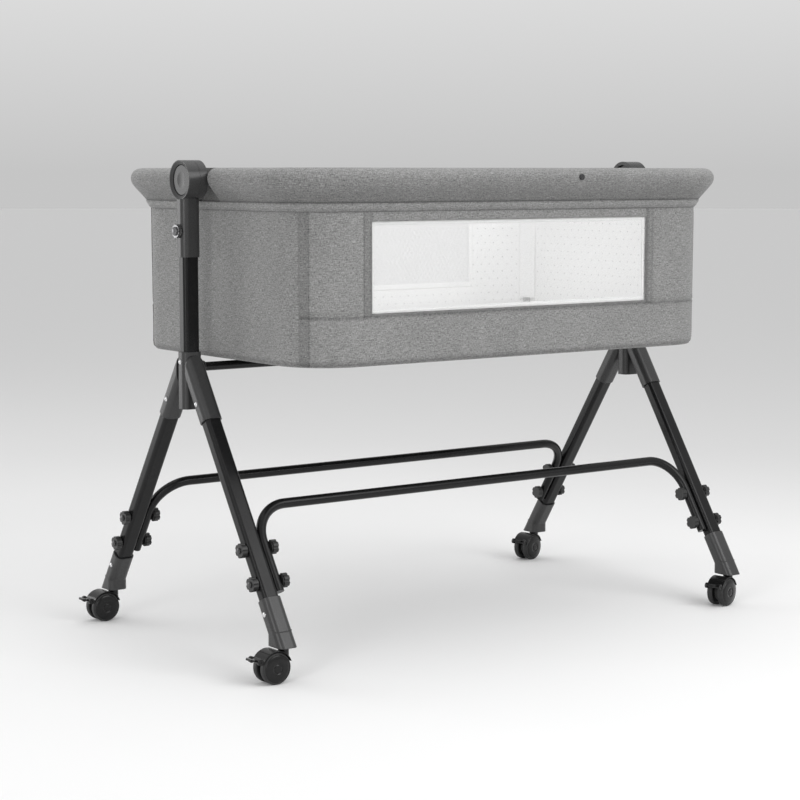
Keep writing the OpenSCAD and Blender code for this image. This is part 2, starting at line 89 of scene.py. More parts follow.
ARC = math.pi / 2 * CORNER
PERIMETER = 4 * (CORE_X + CORE_Y) + 4 * ARC
SEGMENTS = [("side", CORE_X, -1), ("corner", 1, -1), ("end", 2 * CORE_Y, 1), ("corner", 1, 1),
            ("side", 2 * CORE_X, 1), ("corner", -1, 1), ("end", 2 * CORE_Y, -1),
            ("corner", -1, -1), ("side", CORE_X, -1)]


# ---------------------------------------------------------------- small tools
def noise3(p, scale, seed=0):
    """Smooth value noise in -1..1 at points p, the same on every run."""
    q = np.asarray(p, float) * scale + seed * 7.31
    i = np.floor(q).astype(np.int64)
    f = q - i
    f = f * f * (3 - 2 * f)
    out = np.zeros(q.shape[:-1])
    for corner in product((0, 1), repeat=3):
        h = np.zeros(q.shape[:-1], np.int64) + seed * 374761
        w = np.ones(q.shape[:-1])
        for a, big in enumerate((73856093, 19349663, 83492791)):
            h ^= (i[..., a] + corner[a]) * big
            w *= f[..., a] if corner[a] else 1 - f[..., a]
        h = (h * 668265261) & 0xFFFFFFFF
        h ^= h >> 15
        h = (h * 374761393) & 0xFFFFFFFF
        h ^= h >> 13
        out += w * ((h & 0xFFFF) / 32767.5 - 1)
    return out


def smooth(x, a, b):
    t = np.clip((np.asarray(x, float) - a) / (b - a), 0, 1)
    return t * t * (3 - 2 * t)


def bell(x, width):
    return np.exp(-(np.asarray(x, float) / width) ** 2)


def wall(s):
    """Point and outward normal in plan at distance s round the walls, from the front's middle
    towards the right end and on anticlockwise."""
    s = np.mod(np.asarray(s, float), PERIMETER)
    x, y, nx, ny = (np.zeros(s.shape) for _ in range(4))
    start = 0.0
    for kind, a, b in SEGMENTS:
        length = ARC if kind == "corner" else a
        on = (s >= start - 1e-12) & (s <= start + length)
        t = s - start
        if kind == "side":
            x0 = (0 if start == 0 else -CORE_X) if b < 0 else CORE_X
            px, py, qx, qy = x0 - b * t, b * HALF_W, 0 * t, 0 * t + b
        elif kind == "end":
            px, py, qx, qy = b * HALF_L, b * (t - CORE_Y), 0 * t + b, 0 * t
        else:
            first = {(1, -1): -90, (1, 1): 0, (-1, 1): 90, (-1, -1): 180}[(a, b)]
            ang = np.radians(first) + t / CORNER
            qx, qy = np.cos(ang), np.sin(ang)
            px, py = a * CORE_X + CORNER * qx, b * CORE_Y + CORNER * qy
        for out, value in ((x, px), (y, py), (nx, qx), (ny, qy)):
            np.copyto(out, value, where=on)
        start += length
    return x + X_MID, y, nx, ny


def at(s, d, z):
    """Points d outside the walls' outer face at distance s and height z."""
    x, y, nx, ny = wall(s)
    return np.stack(np.broadcast_arrays(x + nx * d, y + ny * d, z), -1)


def corner_s(ax, ay, angle):
    """Distance s of a point on a corner's arc; angle is measured from the end wall's normal."""
    base = {(1, -1): CORE_X, (1, 1): CORE_X + ARC + 2 * CORE_Y,
            (-1, 1): 3 * CORE_X + 2 * ARC + 2 * CORE_Y,
            (-1, -1): 3 * CORE_X + 3 * ARC + 4 * CORE_Y}[(ax, ay)]
    first = (ax > 0 and ay > 0) or (ax < 0 and ay < 0)
    return base + (angle if first else math.pi / 2 - angle) * CORNER


SEAM_FR, SEAM_RR = corner_s(1, -1, SEAM_A), corner_s(1, 1, SEAM_A)
SEAM_RL, SEAM_FL = corner_s(-1, 1, SEAM_A), corner_s(-1, -1, SEAM_A)
REAR_MID = 2 * CORE_X + 2 * CORE_Y + 2 * ARC
# windows as spans of s: the front one sits towards the left corner, the rear one likewise from behind
WINDOWS = {"front": (-WIN_SHIFT - WIN_W / 2, -WIN_SHIFT + WIN_W / 2),
           "rear": (REAR_MID - WIN_SHIFT - WIN_W / 2, REAR_MID - WIN_SHIFT + WIN_W / 2)}


def lines(a, b, step, *extra):
    """Grid lines from a to b about a step apart, with a close pair at each extra value."""
    n = max(2, int(round((b - a) / step)) + 1)
    base = np.linspace(a, b, n)
    keep = [v for v in base if all(abs(v - e) > step * 0.3 for e in extra) or v in (a, b)]
    for e in extra:
        for v in (e - 0.35 * MM, e + 0.35 * MM):
            if a < v < b:
                keep.append(v)
    return np.array(sorted(keep))


def new_object(name, verts, faces, uvs=None, tone=None, flat=False):
    mesh = bpy.data.meshes.new(name)
    mesh.from_pydata([tuple(v) for v in verts], [], [tuple(f) for f in faces])
    if uvs is not None:
        layer = mesh.uv_layers.new(name="cloth")
        layer.uv.foreach_set("vector", np.asarray(uvs, np.float32).ravel())
    # tone: a per-point colour factor; on the cloth it carries painted light and shade as well as the cloth's
    # own tone
    if tone is not None:
        mesh.attributes.new("tone", "FLOAT", "POINT").data.foreach_set(
            "value", np.asarray(tone, np.float32))
    mesh.polygons.foreach_set("use_smooth", [not flat] * len(mesh.polygons))
    mesh.update()
    ob = bpy.data.objects.new(name, mesh)
    scene.collection.objects.link(ob)
    return ob


def grid(name, S, T, place, loop_s=False, loop_t=False, hole=None, uv=None, tone=None,
         uv_span=(0, 0)):
    """A mesh over the grid S x T. place gives the points, hole drops faces by their middle, and a
    looped way closes on itself."""
    SS, TT = np.meshgrid(S, T, indexing="ij")
    points = place(SS, TT).reshape(-1, 3)
    n, m = len(S), len(T)
    i = np.arange(n if loop_s else n - 1)
    j = np.arange(m if loop_t else m - 1)
    I, J = (a.ravel() for a in np.meshgrid(i, j, indexing="ij"))
    I2, J2 = (I + 1) % n, (J + 1) % m
    S1, T1 = S[I], T[J]
    S2 = np.where(I2 > I, S[I2], S[0] + uv_span[0])
    T2 = np.where(J2 > J, T[J2], T[0] + uv_span[1])
    if hole is not None:
        keep = ~hole((S1 + S2) / 2, (T1 + T2) / 2)
        I, J, I2, J2, S1, S2, T1, T2 = (a[keep] for a in (I, J, I2, J2, S1, S2, T1, T2))
    faces = np.stack([I * m + J, I2 * m + J, I2 * m + J2, I * m + J2], -1)
    u = np.stack([S1, S2, S2, S1], -1)
    v = np.stack([T1, T1, T2, T2], -1)
    if uv is not None:
        u, v = uv(u, v)
    tones = None if tone is None else tone(SS, TT).ravel()
    used = np.unique(faces)
    new = np.full(n * m, -1)
    new[used] = np.arange(len(used))
    return new_object(name, points[used], new[faces], np.stack([u, v], -1),
                      None if tones is None else tones[used])


def thicken(ob, thickness, offset=-1.0):
    """Gives a sheet its thickness, inwards from its outer face, with closed edges."""
    mod = ob.modifiers.new("thickness", "SOLIDIFY")
    mod.thickness = thickness
    mod.offset = offset
    return ob


def tube(name, path, radius, sides=10, closed=True, squash=1.0, uv_scale=1.0, normals=None):
    """A round welt that follows path; squash flattens it along the path's side normals."""
    p = np.asarray(path, float)
    n = len(p)
    nxt = np.roll(p, -1, 0) if closed else np.vstack([p[1:], 2 * p[-1] - p[-2]])
    prv = np.roll(p, 1, 0) if closed else np.vstack([2 * p[0] - p[1], p[:-1]])
    t = nxt - prv
    t /= np.linalg.norm(t, axis=1)[:, None]
    up = np.tile([0.0, 0.0, 1.0], (n, 1)) if normals is None else np.asarray(normals, float)
    side = np.cross(t, up)
    side /= np.linalg.norm(side, axis=1)[:, None]
    up = np.cross(side, t)
    run = np.concatenate([[0], np.cumsum(np.linalg.norm(np.diff(p, axis=0), axis=1))])
    a = np.linspace(0, 2 * math.pi, sides, endpoint=False)
    verts = (p[:, None] + radius * (np.cos(a)[None, :, None] * side[:, None] * squash
                                    + np.sin(a)[None, :, None] * up[:, None])).reshape(-1, 3)
    faces, uvs = [], []
    for i in range(n if closed else n - 1):
        i2 = (i + 1) % n
        u1 = run[i] * uv_scale
        u2 = (run[i2] if i2 > i else run[-1] + np.linalg.norm(p[0] - p[-1])) * uv_scale
        for k in range(sides):
            k2 = (k + 1) % sides
            faces.append((i * sides + k, i * sides + k2, i2 * sides + k2, i2 * sides + k))
            v1, v2 = k * radius * 6.283 / sides, (k + 1) * radius * 6.283 / sides
            uvs += [(u1, v1), (u1, v2), (u2, v2), (u2, v1)]
    if not closed:
        for end, order in ((0, -1), (n - 1, 1)):
            ring = [end * sides + k for k in range(sides)][::order]
            faces.append(ring)
            uvs += [(0, 0)] * sides
        ob = new_object(name, verts, faces)
        layer = ob.data.uv_layers.new(name="cloth")
        layer.uv.foreach_set("vector", np.asarray(uvs, np.float32).ravel())
        return ob
    return new_object(name, verts, faces, uvs)


def stitch_block(rows, radius=0.27 * MM):
    """Vertices and faces of small sewn threads. Each row is (points, tangents, normals, length)."""
    sides, rings = 6, ((-1, 0.35), (-0.82, 0.85), (0, 1.0), (0.82, 0.85), (1, 0.35))
    verts, faces, base = [], [], 0
    for p, t, n, length in rows:
        side = np.cross(n, t)
        for r, (along, fat) in enumerate(rings):
            sink = -0.35 * abs(along) ** 3
            for k in range(sides):
                a = 2 * math.pi * k / sides
                verts.append(p + t * (along * length / 2)
                             + radius * fat * (math.cos(a) * side + math.sin(a) * n)
                             + n * radius * (sink + 0.15))
        for r in range(len(rings) - 1):
            for k in range(sides):
                k2 = (k + 1) % sides
                a, b = base + r * sides, base + (r + 1) * sides
                faces.append((a + k, a + k2, b + k2, b + k))
        faces.append(tuple(base + k for k in range(sides))[::-1])
        faces.append(tuple(base + (len(rings) - 1) * sides + k for k in range(sides)))
        base += len(rings) * sides
    return verts, faces


# ---------------------------------------------------------------- materials
class Mat:
    """A procedural material built around one Principled node."""

    def __init__(self, name, **values):
        self.m = bpy.data.materials.new(name)
        self.m.use_nodes = True
        self.t = self.m.node_tree
        self.b = next(n for n in self.t.nodes if n.type == "BSDF_PRINCIPLED")
        for k, v in values.items():
            self.b.inputs[k.replace("_", " ")].default_value = v

    def add(self, kind, ins=None, out=0, **props):
        n = self.t.nodes.new("ShaderNode" + kind)
        for k, v in props.items():
            setattr(n, k, v)
        for k, v in (ins or {}).items():
            if isinstance(v, bpy.types.NodeSocket):
                self.t.links.new(v, n.inputs[k])
            else:
                n.inputs[k].default_value = v
        return n.outputs[out]

    def to(self, name, out):
        self.t.links.new(out, self.b.inputs[name])

    def uv(self):
        return self.add("UVMap", uv_map="cloth")

    def place(self):
        return self.add("TexCoord", out=3)

    def scaled(self, vector, scale, turn=0.0, shift=(0, 0, 0)):
        return self.add("Mapping", {"Vector": vector, "Scale": scale, "Location": shift,
                                    "Rotation": (0, 0, turn)})

    def noise(self, vector, scale=1.0, detail=2.0, rough=0.5):
        return self.add("TexNoise", {"Vector": vector, "Scale": scale, "Detail": detail,
                                     "Roughness": rough})

    def math(self, op, a, b=0.0, c=0.0):
        return self.add("Math", {0: a, 1: b, 2: c}, operation=op)

    def span(self, value, a, b, low=0.0, high=1.0):
        return self.add("MapRange", {"Value": value, "From Min": a, "From Max": b,
                                     "To Min": low, "To Max": high})

    def blend(self, share, a, b, kind="MIX"):
        n = self.t.nodes.new("ShaderNodeMix")
        n.data_type, n.blend_type = "RGBA", kind
        for k, v in ((0, share), (6, a), (7, b)):
            if isinstance(v, bpy.types.NodeSocket):
                self.t.links.new(v, n.inputs[k])
            else:
                n.inputs[k].default_value = v
        return n.outputs[2]

    def bump(self, height, distance, strength=1.0, normal=None):
        ins = {"Height": height, "Distance": distance, "Strength": strength}
        if normal is not None:
            ins["Normal"] = normal
        out = self.add("Bump", ins)
        self.to("Normal", out)
        return out


def grey(v, tint=(1, 1, 1)):
    return (v * tint[0], v * tint[1], v * tint[2], 1)


def linen(name, dark, light, takes_tone_and_shade=True, strength=0.55, pitch=1.05 * MM):
    """Heather cloth: light and dark yarns in both ways, thicker slubs, and a plain weave's relief."""
    m = Mat(name, Roughness=0.9, Sheen_Weight=0.2, Sheen_Roughness=0.45, Specular_IOR_Level=0.25)
    uv = m.uv()
    weft = m.noise(m.scaled(uv, (170, 1500, 1)), detail=2)
    warp = m.noise(m.scaled(uv, (1500, 170, 1), shift=(3.7, 1.3, 0)), detail=2)
    slub = m.noise(m.scaled(uv, (60, 520, 1), shift=(9.1, 4.4, 0)), detail=3, rough=0.6)
    fleck = m.noise(m.scaled(uv, (420, 420, 1)), detail=2, rough=0.6)
    cloud = m.noise(m.scaled(uv, (14, 14, 1)), detail=2)
    mix = m.math("ADD", m.math("MULTIPLY", weft, 0.3), m.math("MULTIPLY", warp, 0.26))
    mix = m.math("ADD", mix, m.math("MULTIPLY", slub, 0.2))
    mix = m.math("ADD", mix, m.math("MULTIPLY", fleck, 0.24))
    share = m.span(mix, 0.39, 0.61)
    colour = m.blend(share, grey(dark), grey(light, (1.0, 1.0, 0.985)))
    colour = m.blend(m.span(cloud, 0.3, 0.7, 0.0, 0.14), colour, grey(dark * 0.9), "MIX")
    # the 'tone' attribute multiplies in painted light and shade (seams, creases, foot, under the rim, the
    # roll's top and underside) with the cloth's own tone
    if takes_tone_and_shade:
        tone = m.add("Attribute", out=2, attribute_name="tone")
        rgb = m.add("CombineColor", {0: tone, 1: tone, 2: tone})
        colour = m.blend(1.0, colour, rgb, "MULTIPLY")
    m.to("Base Color", colour)
    k = 2 * math.pi / (2 * pitch)
    xyz = m.t.nodes.new("ShaderNodeSeparateXYZ")
    m.t.links.new(uv, xyz.inputs[0])
    weave = m.math("MULTIPLY", m.math("SINE", m.math("MULTIPLY", xyz.outputs[0], k)),
                   m.math("SINE", m.math("MULTIPLY", xyz.outputs[1], k)))
    height = m.math("ADD", m.math("MULTIPLY", weave, 0.35), mix)
    m.bump(height, 0.5 * MM, strength)
    m.to("Roughness", m.span(mix, 0.4, 0.6, 0.96, 0.82))
    return m.m


def dotted(name, base, dot, bump=0.25):
    """White cotton with small grey dots in staggered rows."""
    m = Mat(name, Roughness=0.85, Sheen_Weight=0.15, Sheen_Roughness=0.4, Specular_IOR_Level=0.3)
    uv = m.uv()
    across, down = 19.5 * MM, 27.6 * MM
    cell = m.add("VectorMath", {0: uv, 1: (1 / across, 1 / down, 0)}, operation="MULTIPLY")
    nearest = None
    for shift in (0.0, 0.5):
        moved = m.add("VectorMath", {0: cell, 1: (shift, shift, 0)}, operation="ADD")
        part = m.add("VectorMath", {0: moved}, operation="FRACTION")
        off = m.add("VectorMath", {0: part, 1: (0.5, 0.5, 0)}, operation="SUBTRACT")
        real = m.add("VectorMath", {0: off, 1: (across, down, 0)}, operation="MULTIPLY")
        dist = m.add("VectorMath", {0: real}, out=1, operation="LENGTH")
        nearest = dist if nearest is None else m.math("MINIMUM", nearest, dist)
    mask = m.span(nearest, 1.15 * MM, 0.95 * MM)
    fine = m.noise(m.scaled(uv, (900, 900, 1)), detail=2)
    cloud = m.noise(m.scaled(uv, (12, 12, 1)), detail=2)
    cloth = m.blend(m.span(fine, 0.3, 0.7), grey(base * 0.95), grey(base, (1, 1, 0.99)))
    cloth = m.blend(m.span(cloud, 0.35, 0.75, 0, 0.06), cloth, grey(base * 0.75), "MIX")
    m.to("Base Color", m.blend(mask, cloth, grey(dot)))
    xyz = m.t.nodes.new("ShaderNodeSeparateXYZ")
    m.t.links.new(uv, xyz.inputs[0])
    k = 2 * math.pi / (0.9 * MM)
    weave = m.math("MULTIPLY", m.math("SINE", m.math("MULTIPLY", xyz.outputs[0], k)),
                   m.math("SINE", m.math("MULTIPLY", xyz.outputs[1], k)))
    m.bump(m.math("ADD", weave, fine), 0.2 * MM, bump)
    m.to("Roughness", m.span(fine, 0.3, 0.7, 0.9, 0.78))
    return m.m


def netting(name, base):
    """Fine white net: thread with open holes in staggered rows."""
    m = Mat(name, Roughness=0.75, Sheen_Weight=0.1, Specular_IOR_Level=0.3)
    uv = m.uv()
    across, down = 1.7 * MM, 2.7 * MM
    cell = m.add("VectorMath", {0: uv, 1: (1 / across, 1 / down, 0)}, operation="MULTIPLY")
    nearest = None
    for shift in (0.0, 0.5):
        moved = m.add("VectorMath", {0: cell, 1: (shift, shift, 0)}, operation="ADD")
        part = m.add("VectorMath", {0: moved}, operation="FRACTION")
        off = m.add("VectorMath", {0: part, 1: (0.5, 0.5, 0)}, operation="SUBTRACT")
        real = m.add("VectorMath", {0: off, 1: (across, down, 0)}, operation="MULTIPLY")
        dist = m.add("VectorMath", {0: real}, out=1, operation="LENGTH")
        nearest = dist if nearest is None else m.math("MINIMUM", nearest, dist)
    thread = m.span(nearest, 0.66 * MM, 0.74 * MM)
    fine = m.noise(m.scaled(uv, (2500, 2500, 1)), detail=1)
    m.to("Base Color", m.blend(m.span(fine, 0.3, 0.7), grey(base * 0.94), grey(base)))
    m.to("Alpha", thread)
    m.bump(m.span(nearest, 0.5 * MM, 1.0 * MM), 0.25 * MM, 0.5)
    m.to("Roughness", m.span(fine, 0.3, 0.7, 0.7, 0.85))
    return m.m


def coated(name, base, rough):
    """Powder-coated steel: fine orange peel, slight cloudiness, edges a little lighter in patches."""
    m = Mat(name, Specular_IOR_Level=0.26)
    p = m.place()
    peel = m.noise(p, 900, 2)
    cloud = m.noise(p, 9, 3)
    soft = m.add("Bevel", {"Radius": 1.2 * MM}, samples=4)
    edge = m.add("Bevel", {"Radius": 1.0 * MM}, samples=4)
    geo = m.add("NewGeometry", out=1)
    turn = m.add("VectorMath", {0: edge, 1: geo}, out=1, operation="DOT_PRODUCT")
    edge_lift = m.math("MULTIPLY", m.span(turn, 0.985, 0.9), m.span(m.noise(p, 60, 3), 0.45, 0.7))
    tone = m.blend(m.span(cloud, 0.35, 0.65), grey(base * 0.85, (1, 1, 1.05)),
                   grey(base * 1.15, (1, 1, 1.03)))
    m.to("Base Color", m.blend(m.math("MULTIPLY", edge_lift, 0.35), tone, grey(base * 4)))
    m.to("Roughness", m.math("ADD", m.span(cloud, 0.3, 0.7, rough - 0.04, rough + 0.05),
                             m.span(peel, 0.3, 0.7, -0.03, 0.03)))
    m.bump(peel, 0.08 * MM, 0.35, soft)
    return m.m


def moulded(name, base, rough, grain=0.5, radius=0.8 * MM, tint=(1, 1, 1.01), shine=0.45):
    """Moulded plastic with a fine spark-eroded grain and soft edges."""
    m = Mat(name, Specular_IOR_Level=shine)
    p = m.place()
    fine = m.noise(p, 1400, 2, 0.6)
    cloud = m.noise(p, 14, 3)
    soft = m.add("Bevel", {"Radius": radius}, samples=4)
    geo = m.add("NewGeometry", out=1)
    turn = m.add("VectorMath", {0: soft, 1: geo}, out=1, operation="DOT_PRODUCT")
    # edges a little lighter in patches
    edge_lift = m.math("MULTIPLY", m.span(turn, 0.98, 0.86), m.span(m.noise(p, 80, 3), 0.4, 0.7))
    tone = m.blend(m.span(cloud, 0.3, 0.7), grey(base * 0.9, tint), grey(base * 1.1, tint))
    m.to("Base Color", m.blend(m.math("MULTIPLY", edge_lift, 0.3), tone, grey(base * 1.7 + 0.01)))
    m.to("Roughness", m.span(fine, 0.3, 0.7, rough - 0.06, rough + 0.06))
    m.bump(fine, 0.1 * MM, grain, soft)
    return m.m


def plated(name, base, rough):
    """Zinc-plated steel with faint handling marks and slight cloudiness."""
    m = Mat(name, Metallic=1.0)
    p = m.place()
    marks = m.noise(p, 260, 3)
    cloud = m.noise(p, 30, 2)
    m.to("Base Color", m.blend(m.span(cloud, 0.3, 0.7), grey(base * 0.9, (1, 1, 1.02)),
                               grey(base)))
    m.to("Roughness", m.span(marks, 0.35, 0.65, rough - 0.06, rough + 0.1))
    m.bump(marks, 0.05 * MM, 0.3, m.add("Bevel", {"Radius": 0.4 * MM}, samples=4))
    return m.m


def threaded(name, value):
    """Polyester sewing thread, twisted."""
    m = Mat(name, Roughness=0.6, Sheen_Weight=0.3, Specular_IOR_Level=0.4)
    p = m.place()
    twist = m.noise(p, 2600, 1)
    m.to("Base Color", m.blend(m.span(twist, 0.3, 0.7), grey(value * 0.7), grey(value * 1.2)))
    m.bump(twist, 0.1 * MM, 0.5)
    return m.m


LINEN = linen("linen", 0.085, 0.39)
TAPE = linen("linen_tape", 0.08, 0.32, takes_tone_and_shade=True, pitch=0.8 * MM)
PLAIN = linen("linen_plain", 0.08, 0.33, takes_tone_and_shade=False, pitch=0.8 * MM)
UNDER = linen("base_cloth", 0.035, 0.08, takes_tone_and_shade=False, pitch=1.2 * MM)
DOTS = dotted("dotted_cotton", 0.88, 0.30)
NET = netting("white_net", 0.95)
TRIM = dotted("white_binding", 0.88, 0.88)
THREAD = threaded("grey_thread", 0.16)
WHITE_THREAD = threaded("white_thread", 0.7)
BLACK = coated("black_powder_coat", 0.007, 0.22)
GREY = moulded("grey_moulding", 0.034, 0.30)
DARK = moulded("castor_moulding", 0.008, 0.17, grain=0.12, shine=0.3)
CAP = moulded("joint_cap", 0.010, 0.24, grain=0.2, shine=0.3)
TYRE = moulded("castor_tyre", 0.012, 0.5, grain=0.6)
KNOB = moulded("knob_moulding", 0.018, 0.4, grain=0.4, radius=0.5 * MM)
STEEL = plated("zinc_plate", 0.72, 0.26)
BLUED = plated("black_zinc", 0.10, 0.3)
DULL = plated("worn_zinc", 0.22, 0.24)

FINISH = {"black_tube": BLACK, "grey_plastic": GREY, "black_plastic": DARK, "bright_steel": STEEL,
          "dark_steel": BLUED,
          "grey_linen": PLAIN, "white_lining": DOTS, "white_mesh": NET, "base_board": UNDER}
for row in frame["record"]["subparts"]:
    node = frame["nodes"][row["node"]]
    finish = FINISH[row["material_slot"]]
    for start, special in (("bar_knobs", KNOB), ("lock_knob", DULL), ("hub_buttons", CAP)):
        if row["node"].startswith(start):
            finish = special
    if not node.material_slots:
        node.data.materials.append(finish)
    for place in node.material_slots:
        place.material = finish


def dress(ob, material, body="basket", stands_for=()):
    if not ob.data.materials:
        ob.data.materials.append(material)
    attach(ob, body)
    if stands_for:
        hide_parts(*stands_for)
    return ob


# ---------------------------------------------------------------- fabric walls
def bottom_tuck(z):
    """How far the cloth turns in round the base board's edge."""
    r = 9 * MM
    low = np.clip(Z_LOW + r - z, 0, r)
    return r - np.sqrt(np.maximum(r * r - low * low, 0))


def panel_depth(s, z, sides):
    """Outward offset of a wall's outer face, with its folds, seams and pulled-in stitching."""
    p = at(s, 0 * s, z)
    d = 0.55 * MM * noise3(p, 7, 1) + 0.25 * MM * noise3(p, 22, 2)
    d = d - 0.75 * bottom_tuck(z)
    # the hem at the foot and the seam under the rim binding pull the cloth in
    hem = Z_LOW + 8.5 * MM
    d = d - 0.7 * MM * bell(z - hem, 1.3 * MM)
    ripple = np.sin(s / (5.2 * MM) + 2.2 * noise3(p, 30, 3))
    d = d + 0.28 * MM * ripple * (bell(z - hem - 4 * MM, 5 * MM) + bell(z - Z_TOP + 5 * MM, 6 * MM))
    if sides:
        d = d - 0.9 * MM * bell(z - SEAM_Z, 1.2 * MM) + 0.35 * MM * bell(z - SEAM_Z + 3.2 * MM, 2 * MM)
        pull = np.sin(s / (4.1 * MM) + 3.0 * noise3(p, 24, 4)) * (0.6 + 0.4 * noise3(p, 12, 5))
        d = d + 0.5 * MM * pull * bell(z - SEAM_Z - 4.5 * MM, 4 * MM)
    return d


def side_depth(s, z, window, ends):
    a, b = window
    d = panel_depth(s, z, True)
    for edge, way in ((a, -1), (b, 1)):
        t = (s - edge) * way                      # 0 at the window, STRIP at the outer edge
        on = (t > 0) & (t < STRIP) & (z > SEAM_Z)
        d = d + np.where(on, 0.9 * MM, 0)
        d = d - 0.5 * MM * (bell(t - 2.4 * MM, 0.8 * MM) + bell(t - STRIP + 2.4 * MM, 0.8 * MM)) * on
        d = d - 0.6 * MM * bell(t - STRIP - 0.8 * MM, 0.8 * MM) * (z > SEAM_Z)
    rise = (z > WIN_HIGH) & (s > a - STRIP) & (s < b + STRIP)
    d = d - 0.6 * MM * bell(z - WIN_HIGH - 5 * MM, 0.9 * MM) * rise
    # laps over the end panel at both corner seams, with a second row of sewing
    for seam in ends:
        t = np.abs(s - seam)
        inside = (s - seam) * (1 if seam == ends[0] else -1)
        d = d + 1.0 * MM * (1 - smooth(inside, 10 * MM, 13 * MM))
        d = d - 0.6 * MM * bell(inside - 1.0 * MM, 0.8 * MM) \
            - 0.9 * MM * bell(inside - 11.5 * MM, 1.1 * MM)
        d = d + 0.25 * MM * np.sin(z / (3.6 * MM) + 2 * noise3(at(s, 0 * s, z), 30, 6)) \
            * bell(inside - 15 * MM, 4 * MM)
    return d


def side_tone_and_shade(s, z, window, ends):
    a, b = window
    tone = 1 + 0.03 * noise3(at(s, 0 * s, z), 9, 8)
    for edge, way in ((a, -1), (b, 1)):
        t = (s - edge) * way
        # the strips a little darker; painted shade in the fold beside each strip and in the stitch groove
        # 2.4 mm from the window
        tone = tone - 0.17 * ((t > -1 * MM) & (t < STRIP)) * (z > SEAM_Z)
        tone = tone - 0.3 * bell(t - STRIP - 0.6 * MM, 1.0 * MM) * (z > SEAM_Z)
        tone = tone - 0.22 * bell(t - 2.4 * MM, 0.9 * MM) * (z > SEAM_Z)
    under = (s > a) & (s < b)
    # a darker band under the window, then painted shade in the seam's groove and over the puckered band
    # above it
    tone = tone - 0.13 * (z < WIN_LOW + 0.5 * MM) * (z > SEAM_Z) * under
    tone = tone - 0.32 * bell(z - SEAM_Z, 1.0 * MM) - 0.1 * bell(z - SEAM_Z - 4 * MM, 4 * MM)
    for seam in ends:
        inside = (s - seam) * (1 if seam == ends[0] else -1)
        # the lap a little darker; painted shade in the grooves of both rows of sewing
        tone = tone - 0.2 * (1 - smooth(inside, 10 * MM, 12.5 * MM)) \
            - 0.3 * bell(inside - 11.8 * MM, 1.0 * MM)
        tone = tone - 0.25 * bell(inside - 1.2 * MM, 0.8 * MM)
    # painted shade at the foot where the cloth turns under, and a painted shadow at the top under the
    # binding and roll
    tone = tone - 0.3 * (1 - smooth(z, Z_LOW + 5 * MM, Z_LOW + 10 * MM)) - 0.2 * bell(z - Z_TOP, 2 * MM)
    return np.clip(tone, 0.3, 1.1)


def end_tone_and_shade(s, z):
    tone = 1 + 0.03 * noise3(at(s, 0 * s, z), 9, 8)
    # painted shade at the foot where the cloth turns under, and a painted shadow at the top under the
    # binding and roll
    tone = tone - 0.3 * (1 - smooth(z, Z_LOW + 5 * MM, Z_LOW + 10 * MM)) - 0.2 * bell(z - Z_TOP, 2 * MM)
    return np.clip(tone, 0.3, 1.1)


LAP = 4 * MM
Z_LINES = lines(Z_LOW + 0.4 * MM, Z_TOP + 1 * MM, 3.4 * MM, SEAM_Z, WIN_LOW, WIN_HIGH,
                Z_LOW + 8.5 * MM)
SIDES = {"front": (SEAM_FL - PERIMETER, SEAM_FR), "rear": (SEAM_RR, SEAM_RL)}
ENDS = {"right": (SEAM_FR, SEAM_RR), "left": (SEAM_RL, SEAM_FL)}
side_place = {}
for side, (a, b) in SIDES.items():
    window = WINDOWS[side]

    def hole(s, z, w=window):
        return (s > w[0]) & (s < w[1]) & (z > WIN_LOW) & (z < WIN_HIGH)

    def place(s, z, w=window, e=(a, b)):
        return at(s, side_depth(s, z, w, e), z)

    side_place[side] = place
    # exact lines along the window's edges, so that the opening is square
    S = lines(a - LAP, b + LAP, 3.6 * MM, window[0] - STRIP, window[1] + STRIP,
              a + 11.5 * MM, b - 11.5 * MM)
    S = np.array(sorted([v for v in S if min(abs(v - window[0]), abs(v - window[1])) > 1.2 * MM]
                        + [window[0], window[1]]))
    Z = np.array(sorted([v for v in Z_LINES if min(abs(v - WIN_LOW), abs(v - WIN_HIGH)) > 0.9 * MM]
                        + [WIN_LOW, WIN_HIGH]))
    cloth = grid(f"side_cloth_{side}", S, Z, place, hole=hole,
                 tone=lambda s, z, w=window, e=(a, b): side_tone_and_shade(s, z, w, e))
    thicken(cloth, CLOTH)
    dress(cloth, LINEN, stands_for=[f"side_panel_{side}"])

for end, (a, b) in ENDS.items():
    def place(s, z, e=(a, b)):
        tuck = 0.5 * MM * (bell(s - e[0], 6 * MM) + bell(s - e[1], 6 * MM))
        return at(s, panel_depth(s, z, False) - tuck, z)

    cloth = grid(f"end_cloth_{end}", lines(a, b, 3.6 * MM), Z_LINES, place, tone=end_tone_and_shade)
    thicken(cloth, CLOTH)
    dress(cloth, LINEN, stands_for=[f"end_panel_{end}"])

# ---------------------------------------------------------------- padded rim roll
OUTLINE = np.array([(-4.5, 713), (-6.2, 722), (-7, 737), (-7, 753), (-6.2, 766), (-2.5, 774.5),
                    (4, 777.8), (13, 778.2), (22, 777.2), (29.5, 773.4), (33.8, 767),
                    (34.8, 760.5), (32.6, 752.6), (26.8, 745), (19.5, 736.8), (12.8, 729.2),
                    (8.2, 724.2), (4.0, 723.2), (2.0, 718), (0.5, 713.5)]) * MM
OUTLINE[:, 1] += Z_TOP - DRAWN_TOP


